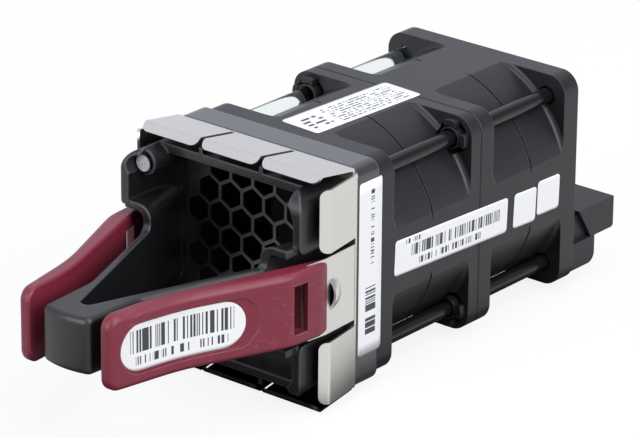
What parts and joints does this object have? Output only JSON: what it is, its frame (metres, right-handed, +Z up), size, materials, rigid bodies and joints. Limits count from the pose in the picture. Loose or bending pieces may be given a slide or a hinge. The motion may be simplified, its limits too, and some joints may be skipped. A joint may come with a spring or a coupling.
{
  "type": "cooling fan",
  "caption": "Slide-in cooling fan module for a server: counter-rotating double fan with a pull-handle bezel, squeeze latches, spring fingers, honeycomb screen and rear plug.",
  "frame": {"origin": "on the fan axis, in the plane where the bezel rim meets the front fan flange", "axes": "+X to the right seen from the handle, +Y rearward along the fan axis (the way the module slides in), +Z up"},
  "size_m": [0.0434, 0.1259, 0.043],
  "materials": {
    "housing_black": "fine matte moulded",
    "bezel_black": "satin moulded",
    "rim_gloss": "polished",
    "lever_burgundy": "satin moulded",
    "finger_metal": "plated satin",
    "screen_steel": "pierced sheet",
    "light_pipe_clear": "clear polished",
    "rod_black": "glossy black",
    "impeller_black": "moulded",
    "yoke_steel": "drawn",
    "ferrite": "sintered",
    "shaft_steel": "ground",
    "bearing_steel": "ground",
    "brass_tube": "turned",
    "core_steel": "laminated",
    "bobbin_nylon": "moulded",
    "copper_wire": "enamelled winding",
    "board_green": "solder mask",
    "spring_steel": "hardened",
    "plug_black": "moulded",
    "contact_gold": "plated"
  },
  "bodies": {
    "module": {"front_frame": "housing_black", "front_bearing_tube": "brass_tube", "front_inner_bearing": "bearing_steel", "front_outer_bearing": "bearing_steel", "front_circuit_board": "board_green", "front_stator_core": "core_steel", "front_winding_bobbin": "bobbin_nylon", "front_coils": "copper_wire", "rear_frame": "housing_black", "rear_bearing_tube": "brass_tube", "rear_inner_bearing": "bearing_steel", "rear_outer_bearing": "bearing_steel", "rear_circuit_board": "board_green", "rear_stator_core": "core_steel", "rear_winding_bobbin": "bobbin_nylon", "rear_coils": "copper_wire", "bezel_rim": "rim_gloss", "honeycomb_screen": "screen_steel", "bezel_handle": "bezel_black", "light_pipe": "light_pipe_clear", "tie_rods": "rod_black", "spring_fingers_top": "finger_metal", "spring_fingers_bottom": "finger_metal", "spring_fingers_right": "finger_metal", "spring_fingers_left": "finger_metal", "connector_housing": "plug_black", "connector_contacts": "contact_gold"},
    "front_rotor": {"front_impeller": "impeller_black", "front_rotor_yoke": "yoke_steel", "front_ring_magnet": "ferrite", "front_shaft": "shaft_steel", "front_shaft_clip": "spring_steel", "front_preload_washer": "spring_steel"},
    "rear_rotor": {"rear_impeller": "impeller_black", "rear_rotor_yoke": "yoke_steel", "rear_ring_magnet": "ferrite", "rear_shaft": "shaft_steel", "rear_shaft_clip": "spring_steel", "rear_preload_washer": "spring_steel"},
    "right_latch": {"latch_spring_right": "finger_metal", "lever_right": "lever_burgundy"},
    "left_latch": {"latch_spring_left": "finger_metal", "lever_left": "lever_burgundy"}
  },
  "joints": [
    {"name": "front_rotor_spin", "type": "hinge", "parent": "module", "child": "front_rotor", "pos_m": [0, 0.014, 0], "axis": [0, 1, 0], "continuous": true},
    {"name": "rear_rotor_spin", "type": "hinge", "parent": "module", "child": "rear_rotor", "pos_m": [0, 0.042, 0], "axis": [0, -1, 0], "continuous": true},
    {"name": "right_latch_squeeze", "type": "hinge", "parent": "module", "child": "right_latch", "pos_m": [0.02, -0.0065, 0], "axis": [0, 0, -1], "range_deg": [0, 2.6], "stiffness_Nm_per_rad": 3},
    {"name": "left_latch_squeeze", "type": "hinge", "parent": "module", "child": "left_latch", "pos_m": [-0.02, -0.0065, 0], "axis": [0, 0, 1], "range_deg": [0, 2.6], "stiffness_Nm_per_rad": 3}
  ]
}
